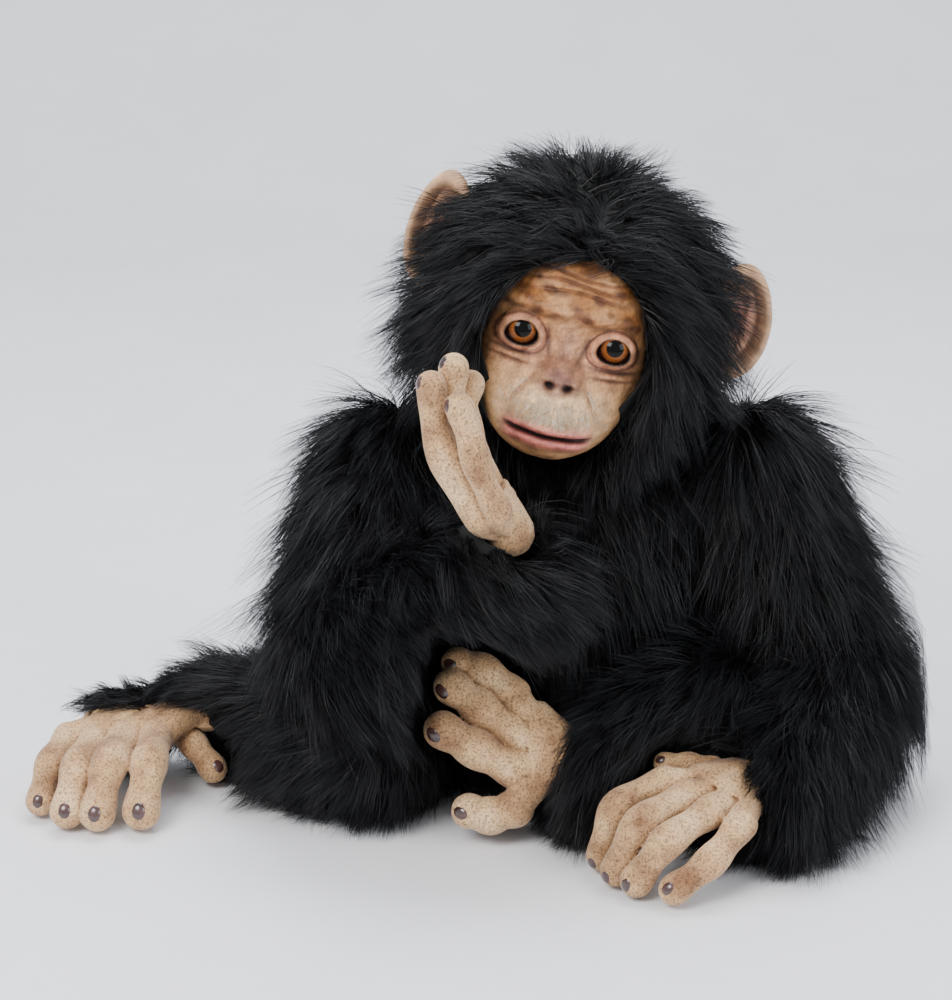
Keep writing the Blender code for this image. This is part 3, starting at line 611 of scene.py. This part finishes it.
def face_h(x, z):
    ax = np.abs(x)
    h = 69.0 - 0.0100 * x * x - 0.0016 * (z + 5) ** 2
    h = h + 19.5 * g2(x, z, 0, -51, 33, 25, 2.8)  # muzzle
    h = h + 5.0 * g2(x, z, 0, -40, 24, 16)  # upper lip
    h = h + 7.0 * g2(ax, z, 21, 9.5, 17, 5.5)  # brow ridge
    h = h + 2.5 * g2(x, z, 0, 8, 9, 8)
    h = h - 5.0 * g2(ax, z, 9.5, -12, 6, 12)  # beside the bridge
    h = h + 8.5 * g2(x, z, 0, -24, 8.5, 7.5)  # nose
    h = h + 5.0 * g2(ax, z, 8.5, -27, 4.6, 4.2)  # wings of the nose
    h = h - 6.0 * g2(ax, z, 5.4, -31.0, 3.0, 2.0)  # nostrils
    h = h - 2.0 * g2(ax, z, 22, -27, 9, 3.0)  # fold under the eye
    h = h - 2.6 * g2(ax, z, 30, -20, 11, 1.6)  # crease under the eye
    h = h - 2.2 * g2(ax, z, 30, -25, 10, 1.3)
    line = -60.0 + 0.006 * x * x * 0.35
    m = np.clip(1.35 - (ax / 25.0) ** 4, 0, 1)
    h = h - 5.5 * m * np.exp(-(((z - line) / 1.25) ** 2))  # mouth slit
    h = h + 3.0 * m * np.exp(-(((z - line - 3.8) / 2.8) ** 2))  # upper lip edge
    h = h + 4.2 * m * np.exp(-(((z - line + 4.6) / 3.4) ** 2))  # lower lip
    h = h - 2.2 * m * np.exp(-(((z - line + 10.5) / 2.6) ** 2))
    h = h + 3.0 * g2(x, z, 0, -74, 15, 6)  # chin
    h = h - 1.8 * np.exp(-(((ax - 15.5 - 0.6 * (-z - 30)) / 1.5) ** 2)) * np.exp(-(((z + 38) / 10) ** 4))
    h = h - 0.9 * g2(x, z, 0, -44, 0.9, 9)  # groove under the nose
    for j, zz in enumerate((19, 24, 29)):  # forehead wrinkles
        h = h - 1.5 * np.exp(-(((z - zz - 1.6 * np.cos(x / 9.0 + j)) / 0.9) ** 2)) * np.exp(-((x / 30) ** 4))
    for ex, ez in EYES:
        dx, dz = x - ex, z - ez
        rho = np.sqrt((dx / 9.2) ** 2 + ((dz + 0.7 + 0.012 * dx * dx) / 7.0) ** 2)
        ball = -EYE_Y + np.sqrt(np.maximum(EYE_R**2 - dx**2 - dz**2, 0.0))
        rim = np.maximum(ball + 2.2, 66.5)
        w = np.exp(-(np.maximum(rho - 1.08, 0) / 0.33) ** 2)
        h = h * (1 - w) + rim * w
        h = h + 0.9 * np.exp(-(((rho - 1.32) / 0.1) ** 2)) - 0.9 * np.exp(-(((rho - 1.55) / 0.1) ** 2))
        h = np.where((rho > 1.0) & (dx**2 + dz**2 < EYE_R**2 * 1.1), np.maximum(h, ball + 2.1), h)
        h = np.where(rho < 1.0, np.minimum(h, ball - 3.5), h)
    h = h + 0.9 * smooth_noise(x, z, 0.3, 3) + 0.35 * smooth_noise(x, z, 1.0, 5)
    return h


# face colour: the face's own colours plus painted shade in its creases, grooves, slits and nostrils
def face_colour_and_painted_shade(x, z):
    ax = np.abs(x)
    col = np.tile(np.array([180.0, 132, 88]), (len(x), 1))

    def blend(c, w):
        nonlocal col
        w = np.clip(w, 0, 1)[:, None]
        col = col * (1 - w) + np.array(c, float) * w

    blend((136, 82, 36), 1.1 * (1 / (1 + np.exp(-(z - 6) / 5))) * (0.5 + 0.5 * smooth_noise(x, z, 0.3, 11)))
    blend((84, 48, 26), 0.85 * (z > 4) * np.clip(smooth_noise(x, z, 0.6, 12), 0, 1))
    blend((208, 172, 130), 0.95 * g2(x, z, 0, -48, 34, 20, 3))
    blend((176, 122, 98), 0.6 * g2(ax, z, 26, -18, 18, 9))
    blend((106, 66, 58), 0.95 * g2(x, z, 0, -26, 11, 7.5, 3) * (0.8 + 0.2 * smooth_noise(x, z, 0.8, 42)))
    blend((134, 94, 86), 0.5 * g2(x, z, 0, -10, 7, 12))
    # painted shade: near-black inside the nostrils
    blend((30, 16, 16), 1.3 * g2(ax, z, 5.0, -31.0, 3.0, 2.3))
    # painted shade: dark lines along the creases under the eyes
    blend((56, 30, 22), 1.0 * np.exp(-((z + 20 - 0.006 * (ax - 30) ** 2) / 1.3) ** 2) * g2(ax, z, 29, -20, 13, 30))
    blend((66, 36, 26), 0.85 * np.exp(-((z + 25 - 0.006 * (ax - 30) ** 2) / 1.1) ** 2) * g2(ax, z, 30, -25, 11, 30))
    # painted shade: dark ring round the nose so the lump stands out
    ring = np.sqrt((x / 11.5) ** 2 + ((z + 26) / 8.5) ** 2)
    blend((96, 58, 46), 0.5 * np.exp(-(((ring - 1.08) / 0.2) ** 2)) * (0.55 + 0.45 * smooth_noise(x, z, 0.5, 41)))
    # painted shade in the grooves beside the bridge of the nose
    blend((70, 42, 30), 0.75 * np.exp(-(((ax - 9.5 - 0.25 * (z + 14)) / 1.6) ** 2)) * np.exp(-(((z + 10) / 9) ** 4)))
    # painted shadow under the brow ridge
    blend((58, 34, 22), 0.6 * g2(ax, z, 22, 4, 15, 2.0))
    # painted shade along the folds running down beside the muzzle
    blend((128, 84, 56), 0.55 * np.exp(-(((ax - 15.5 - 0.6 * (-z - 30)) / 1.6) ** 2)) * np.exp(-(((z + 38) / 10) ** 4)))
    line = -60.0 + 0.0021 * x * x
    m = np.clip(1.35 - (ax / 25.0) ** 4, 0, 1)
    blend((190, 108, 98), 1.0 * m * np.exp(-(((z - line + 0.8) / 7.4) ** 4)))
    # painted shade: dark line in the mouth slit
    blend((42, 20, 18), 1.2 * m * np.exp(-(((z - line) / 1.5) ** 2)))
    # painted shade in the forehead wrinkles
    for j, zz in enumerate((19, 24, 29)):
        blend((84, 48, 28), 0.55 * np.exp(-(((z - zz - 1.6 * np.cos(x / 9.0 + j)) / 1.0) ** 2)) * np.exp(-((x / 30) ** 4)))
    for ex, ez in EYES:
        rho = np.sqrt(((x - ex) / 9.2) ** 2 + ((z - ez + 0.7 + 0.012 * (x - ex) ** 2) / 7.0) ** 2)
        blend((180, 122, 98), 0.75 * np.exp(-(((rho - 1.38) / 0.24) ** 2)))
        # painted shade in the crease round each eye
        blend((74, 42, 32), 0.75 * np.exp(-(((rho - 1.62) / 0.09) ** 2)))
        # painted shade where the lid meets the eyeball
        blend((34, 17, 14), 1.2 * np.exp(-(np.maximum(rho - 1.0, 0) / 0.085) ** 2))
    col = col * (1 + 0.11 * smooth_noise(x, z, 0.7, 21) + 0.06 * smooth_noise(x, z, 2.2, 22))[:, None]
    return lin(np.clip(col, 4, 250))


def make_face():
    n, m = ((300, 150))
    a = np.linspace(0, 2 * math.pi, n, endpoint=False)
    c, s = np.cos(a), np.sin(a)
    w = 52.0 - 9.0 * np.where(s < 0, s * s, 0)
    hgt = np.where(s > 0, 62.0, 59.0)
    r = (np.abs(c / w) ** 2.25 + np.abs(s / hgt) ** 2.25) ** (-1 / 2.25)
    f = np.linspace(0.004, 1.0, m)
    X = (f[:, None] * (r * c)[None]).ravel()
    Z = (-20.0 + f[:, None] * (r * s)[None]).ravel()
    H = face_h(X, Z)
    edge = np.repeat(np.clip((f - 0.8) / 0.2, 0, 1), n)
    H = H - 16.0 * edge**2.2
    P = np.stack([X, -H, Z], 1) @ HM.T + HEAD
    idx = np.arange(n * m).reshape(m, n)
    q = np.stack([idx[:-1], np.roll(idx[:-1], -1, 1), np.roll(idx[1:], -1, 1), idx[1:]], 2).reshape(-1, 4)
    ob = quad_mesh("face", to_m(P), q[:, ::-1], FACE, paint=face_colour_and_painted_shade(X, Z))
    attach(ob, "head")
    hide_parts("face_mask")
    return ob


make_face()


def fuzz():
    k = 9000
    x = rng.normal(size=k) * 19
    z = -51 + rng.normal(size=k) * 13
    ok = (z > -52.5) & (((x / 34) ** 2 + ((z + 50) / 25) ** 2) < 1) & ~((np.abs(z + 60) < 5) & (np.abs(x) < 24)) & ~((np.abs(x) < 13) & (z > -37))
    x, z = x[ok], z[ok]
    h0, hx, hz = face_h(x, z), face_h(x + 1.5, z), face_h(x, z + 1.5)
    n = norm(np.stack([-(hx - h0) / 1.5, -np.ones(len(x)), -(hz - h0) / 1.5], 1) * np.array([-1, 1, -1])) @ HM.T
    p = np.stack([x, -h0 + 0.2, z], 1) @ HM.T + HEAD
    c = norm(np.stack([np.sign(x) * 0.5, np.full(len(x), -0.1), np.full(len(x), -0.8)], 1) @ HM.T)
    m, t, nn, l, b = new_mat("muzzle_fuzz")
    uv = nn.new("ShaderNodeUVMap")
    uv.uv_map = "OFBake"
    sep = nn.new("ShaderNodeSeparateXYZ")
    l.new(uv.outputs["UV"], sep.inputs["Vector"])
    r = ramp(nn, l, sep.outputs["X"], [(0.0, lin((188, 164, 134))), (1.0, lin((236, 224, 204)))])
    l.new(r.outputs["Color"], b.inputs["Base Color"])
    set_in(b, Roughness=0.8)
    strands("head_fur_fabric", "head", k, 4.2, 0.6, width=0.20, segs=2, curl=0.2, clump=0.2, droop=0.2, roots=(p, n, c), name="muzzle_fuzz", mat=m, facefree=False)


fuzz()


def make_eye(name, ex, ez, node):
    n, m = 96, 64
    th = np.linspace(0.01, math.pi * 0.62, m)
    a = np.linspace(0, 2 * math.pi, n, endpoint=False)
    T, A = (v.ravel() for v in np.meshgrid(th, a, indexing="ij"))
    d = np.stack([np.sin(T) * np.cos(A), -np.cos(T), np.sin(T) * np.sin(A)], 1)
    rr = EYE_R + 0.9 * np.exp(-((T / 0.62) ** 4))
    gaze = math.radians(9.0)
    R = np.array([[1, 0, 0], [0, math.cos(gaze), math.sin(gaze)], [0, -math.sin(gaze), math.cos(gaze)]])
    P = (d * rr[:, None]) @ R.T + np.array([ex, EYE_Y, ez])
    rad = T * EYE_R
    col = np.tile(np.array([98.0, 52, 24]), (len(T), 1))
    st = 0.5 + 0.5 * np.sin(A * 31 + 3 * np.sin(A * 7)) * np.sin(A * 17 + 2)
    col = col * (0.68 + 0.45 * st)[:, None]
    glow = np.exp(-((rad - 5.2) / 1.6) ** 2)[:, None]
    col = col * (1 - 0.55 * glow) + np.array([150.0, 88, 36]) * 0.55 * glow
    ring = np.clip((rad - 7.7) / 0.9, 0, 1)[:, None]
    col = col * (1 - ring) + np.array([26.0, 12, 8]) * ring
    pup = np.clip((4.9 - rad) / 0.5, 0, 1)[:, None]
    col = col * (1 - pup) + np.array([4.0, 3, 3]) * pup
    P = P @ HM.T + HEAD
    idx = np.arange(n * m).reshape(m, n)
    q = np.stack([idx[:-1], idx[1:], np.roll(idx[1:], -1, 1), np.roll(idx[:-1], -1, 1)], 2).reshape(-1, 4)
    ob = quad_mesh(name, to_m(P), q[:, ::-1], EYE, paint=lin(np.clip(col, 1, 255)))
    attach(ob, "head")
    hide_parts(node)


make_eye("iris_right", *EYES[0], "eye_right")
make_eye("iris_left", *EYES[1], "eye_left")


def make_ear(name, s, centre, width, height, turn, node):
    a = math.radians(turn)
    out = np.array([s * math.cos(a), math.sin(a), 0])
    nrm = np.array([s * math.sin(a), -math.cos(a), 0])
    f = HM @ np.stack([out, nrm, np.cross(out, nrm)], 1)
    n, m = 120, 46
    t = np.linspace(0, 2 * math.pi, n, endpoint=False)
    r = np.linspace(0.01, 1.0, m)
    Rr, Tt = (v.ravel() for v in np.meshgrid(r, t, indexing="ij"))
    ux = np.cos(Tt) * Rr
    uz = np.sin(Tt) * Rr
    up = np.sign(f[2, 2]) if abs(f[2, 2]) > 0.2 else 1.0
    X = ux * width * (1.0 - 0.16 * uz * up)
    Z = uz * height
    rim = np.exp(-(((Rr - 0.86) / 0.1) ** 2)) * (0.35 + 0.65 * np.clip((ux + 0.55), 0, 1))
    Y = -7.5 * (1 - Rr**2) + 5.5 * rim - 3.0 * np.clip((Rr - 0.93) / 0.07, 0, 1) ** 2
    Y = Y + 3.2 * np.exp(-(((Rr - 0.52 + 0.12 * np.cos(Tt * 2)) / 0.09) ** 2)) * np.clip(0.3 + ux, 0, 1)
    Y = Y + 0.5 * smooth_noise(X, Z, 0.3, 31)
    P = np.stack([X, Y, Z], 1) @ f.T + (HEAD + HM @ np.array(centre, float))
    tan = np.array([190.0, 150, 116])
    col = np.tile(tan, (len(X), 1)) * (1 + 0.08 * smooth_noise(X, Z, 0.5, 33))[:, None]
    w = (0.85 * np.exp(-((Rr / 0.55) ** 4)))[:, None]
    col = col * (1 - w) + np.array([196.0, 128, 112]) * w
    # painted shade in the groove between the ear's inner ridge and its rim
    w = (0.7 * np.exp(-(((Rr - 0.7) / 0.07) ** 2)))[:, None]
    col = col * (1 - w) + np.array([112.0, 72, 52]) * w
    idx = np.arange(n * m).reshape(m, n)
    q = np.stack([idx[:-1], idx[1:], np.roll(idx[1:], -1, 1), np.roll(idx[:-1], -1, 1)], 2).reshape(-1, 4)
    ob = quad_mesh(name, to_m(P), q, EARM, paint=lin(np.clip(col, 4, 250)))
    so = ob.modifiers.new("thick", "SOLIDIFY")
    so.thickness = 0.0026
    so.offset = 0.0
    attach(ob, "head")
    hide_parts(node)


make_ear("ear_shell_right", -1, (-84.0, 4.0, 26.0), 20.0, 35.0, 30, "ear_right")
make_ear("ear_shell_left", 1, (96.0, 6.0, 14.0), 23.0, 34.0, 22, "ear_left")

# ------------------------------------------------------------- hands and feet
NAIL_SIDE = {
    "right_foot": (0, -0.75, 0.65),
    "right_big_toe": (0.2, -0.5, 0.85),
    "left_foot": (-0.75, -0.6, 0.25),
    "left_big_toe": (-0.4, -0.6, 0.7),
    "left_hand": (-0.55, -0.75, 0.4),
    "left_thumb": (-0.2, -0.7, 0.7),
    "right_hand": (-0.9, -0.45, 0.1),
    "right_thumb": (-0.7, -0.7, 0.1),
}
PALMS = {
    "hand_left": ("left_hand", "fingers_left", "left_thumb", "thumb_left"),
    "hand_right": ("right_hand", "fingers_right", "right_thumb", "thumb_right"),
    "foot_left": ("left_foot", "toes_left", "left_big_toe", "big_toe_left"),
    "foot_right": ("right_foot", "toes_right", "right_big_toe", "big_toe_right"),
}


def icosphere(n=24, m=14):
    th = np.linspace(0.0, math.pi, m + 1)[1:-1]
    a = np.linspace(0, 2 * math.pi, n, endpoint=False)
    T, A = (v.ravel() for v in np.meshgrid(th, a, indexing="ij"))
    v = np.stack([np.sin(T) * np.cos(A), np.sin(T) * np.sin(A), np.cos(T)], 1)
    v = np.vstack([v, [[0, 0, 1], [0, 0, -1]]])
    idx = np.arange(n * (m - 1)).reshape(m - 1, n)
    q = np.stack([idx[:-1], idx[1:], np.roll(idx[1:], -1, 1), np.roll(idx[:-1], -1, 1)], 2).reshape(-1, 4)
    f = [tuple(int(i) for i in x) for x in q]
    t, b = len(v) - 2, len(v) - 1
    f += [(t, int(idx[0, k]), int(idx[0, (k + 1) % n])) for k in range(n)]
    f += [(b, int(idx[-1, (k + 1) % n]), int(idx[-1, k])) for k in range(n)]
    return v, f


BALL_V, BALL_F = icosphere()


def catmull(pts, per=10):
    p = np.array(pts, float)
    p = np.vstack([2 * p[0] - p[1], p, 2 * p[-1] - p[-2]])
    out = []
    for i in range(1, len(p) - 2):
        for k in range(per):
            t = k / per
            out.append(0.5 * (2 * p[i] + (p[i + 1] - p[i - 1]) * t + (2 * p[i - 1] - 5 * p[i] + 4 * p[i + 1] - p[i + 2]) * t**2 + (3 * p[i] - p[i - 1] - 3 * p[i + 1] + p[i + 2]) * t**3))
    out.append(p[-2])
    return np.array(out)


def blob_mesh(name, balls, mat, voxel=0.0009, extra=None, smooth=6):
    """One skin round many balls, as a remeshed union."""
    vs, fs, base = [], [], 0
    for c, r, frm in balls:
        v = (BALL_V * np.asarray(r, float)) @ (np.eye(3) if frm is None else frm).T + np.asarray(c, float)
        vs.append(v)
        fs += [tuple(i + base for i in f) for f in BALL_F]
        base += len(v)
    if extra is not None:
        v, f = extra
        vs.append(v)
        fs += [tuple(int(i) + base for i in x) for x in f]
    me = bpy.data.meshes.new(name)
    me.from_pydata([tuple(x) for x in to_m(np.vstack(vs))], [], fs)
    me.materials.append(mat)
    ob = bpy.data.objects.new(name, me)
    bpy.context.scene.collection.objects.link(ob)
    rm = ob.modifiers.new("skin", "REMESH")
    rm.mode = "VOXEL"
    rm.voxel_size = voxel * 1.0
    rm.use_smooth_shade = True
    sm = ob.modifiers.new("smooth", "SMOOTH")
    sm.factor = 0.6
    sm.iterations = smooth
    return ob


def digit_balls(line, knuckle=True):
    p = catmull(line, 12)
    k = np.linspace(0, 1, len(p))
    out = []
    for i, q in enumerate(p):
        r = q[3] * 0.86 * (1.0 + (0.09 * math.cos(4 * math.pi * k[i]) if knuckle else 0))
        out.append((q[:3], (r, r, r), None))
    return out


nails_made = []
for palm, (tag, group, thumb_tag, thumb) in PALMS.items():
    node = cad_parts[palm]
    v = to_mm(np.array([node.matrix_world @ x.co for x in node.data.vertices]))
    faces = [tuple(pg.vertices) for pg in node.data.polygons]
    cen = v.mean(0)
    wrist = np.array({"hand_left": (164, -136, 41), "hand_right": (20, -138, 190), "foot_left": (54, -110, 50), "foot_right": (-156, -14, 47)}[palm], float)
    v = cen + (v - cen) * (0.90 if palm != "hand_right" else 0.80)
    if palm == "foot_left":
        v[:, 0] = np.maximum(v[:, 0], 27.0)
    balls = []
    for ln in DIGITS[tag] + DIGITS[thumb_tag]:
        a = np.array(ln[0], float)
        inner = a[:3] + (wrist - a[:3]) * 0.62
        for k in np.linspace(0, 1, 14):
            c = a[:3] * (1 - k) + inner * k
            c = c + np.array(NAIL_SIDE[tag]) * 3.2 * math.sin(math.pi * min(k * 1.1, 1.0))
            balls.append((c, (a[3] * (0.88 - 0.2 * k),) * 3, None))
    ob = blob_mesh(palm + "_skin", balls, SKIN, extra=(v, faces), smooth=6)
    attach(ob, palm)
    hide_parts(palm)
    for t, nd in ((tag, group), (thumb_tag, thumb)):
        balls = []
        for ln in DIGITS[t]:
            balls += digit_balls(ln)
        ob = blob_mesh(nd + "_skin", balls, SKIN, smooth=5)
        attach(ob, nd)
        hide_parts(nd)
        vs, fs, base = [], [], 0
        for ln in DIGITS[t]:
            p = catmull(ln, 10)
            tip = p[-1]
            d = norm(p[-1][:3] - p[-4][:3])
            up = np.array(NAIL_SIDE[t], float)
            up = norm(up - d * (up @ d))
            side = np.cross(d, up)
            r = tip[3]
            r = r * 0.86
            c = tip[:3] + up * (r * 0.80) + d * (r * 0.34)
            nd_dir = norm(d * 0.85 - up * 0.35)
            nu = norm(up - nd_dir * (up @ nd_dir))
            frm = np.stack([nd_dir, side, nu], 1)
            vs.append((BALL_V * np.array([r * 0.52, r * 0.44, r * 0.26])) @ frm.T + c)
            fs += [tuple(i + base for i in f) for f in BALL_F]
            base += len(BALL_V)
        me = bpy.data.meshes.new(nd + "_nails")
        me.from_pydata([tuple(x) for x in to_m(np.vstack(vs))], [], fs)
        me.polygons.foreach_set("use_smooth", np.ones(len(me.polygons), bool))
        me.materials.append(NAIL)
        nl = bpy.data.objects.new(nd + "_nails", me)
        bpy.context.scene.collection.objects.link(nl)
        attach(nl, nd)


# ------------------------------------------------------------- floor, light, camera
floor_m, t, n, l, b = new_mat("floor_cloth")
tc = n.new("ShaderNodeTexCoord")
z = noise(n, l, 6.0, coord=tc.outputs["Object"])
c = ramp(n, l, z.outputs["Fac"], [(0.3, (0.8, 0.805, 0.84)), (0.7, (0.86, 0.86, 0.89))])
l.new(c.outputs["Color"], b.inputs["Base Color"])
set_in(b, Roughness=0.95)
bpy.ops.mesh.primitive_plane_add(size=1)
plane = bpy.context.object
plane.name = "floor"
prof = [(-3.0, 0.0)] + [(1.4 + 0.9 * math.sin(a), 0.9 - 0.9 * math.cos(a)) for a in np.linspace(0, math.pi / 2, 16)] + [(2.3, 4.0)]
vs = [(x, y, zz) for y, zz in prof for x in (-5.0, 5.0)]
fs = [(2 * i, 2 * i + 1, 2 * i + 3, 2 * i + 2) for i in range(len(prof) - 1)]
plane.data.clear_geometry()
plane.data.from_pydata(vs, [], fs)
plane.data.polygons.foreach_set("use_smooth", [True] * len(fs))
plane.data.materials.append(floor_m)
plane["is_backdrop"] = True


def area(name, loc, target, size, power, color=(1, 1, 1)):
    d = bpy.data.lights.new(name, "AREA")
    d.shape = "RECTANGLE"
    d.size, d.size_y = size
    d.energy = power
    d.color = color
    o = bpy.data.objects.new(name, d)
    bpy.context.scene.collection.objects.link(o)
    o.location = loc
    o.rotation_euler = (Vector(target) - Vector(loc)).to_track_quat("-Z", "Y").to_euler()


area("key", (-0.9, -1.3, 1.5), (0, 0, 0.2), (1.0, 0.8), 44.0, (1.0, 0.985, 0.96))
area("fill", (1.5, -1.1, 0.9), (0, 0, 0.2), (1.2, 1.0), 20.0, (0.94, 0.97, 1.0))
area("top", (0.1, 0.5, 1.8), (0, 0, 0.2), (1.4, 1.0), 34.0, (0.93, 0.96, 1.0))
world = bpy.context.scene.world or bpy.data.worlds.new("world")
bpy.context.scene.world = world
world.use_nodes = True
world.node_tree.nodes["Background"].inputs[0].default_value = (0.86, 0.89, 0.93, 1)
world.node_tree.nodes["Background"].inputs[1].default_value = 1.0

cam = bpy.data.cameras.new("cam")
cam.sensor_fit = "VERTICAL"
cam.sensor_height = 24.0
cam.lens = 12.0 / math.tan(math.radians(19.37) / 2)
camo = bpy.data.objects.new("cam", cam)
bpy.context.scene.collection.objects.link(camo)
T = np.array([0.0, -40.0, 180.0])
E = math.radians(18.0)
camo.location = to_m(T + 1700.0 * np.array([0.0, -math.cos(E), math.sin(E)]))
camo.rotation_euler = (Vector(to_m(T)) - camo.location).to_track_quat("-Z", "Y").to_euler()
bpy.context.scene.camera = camo
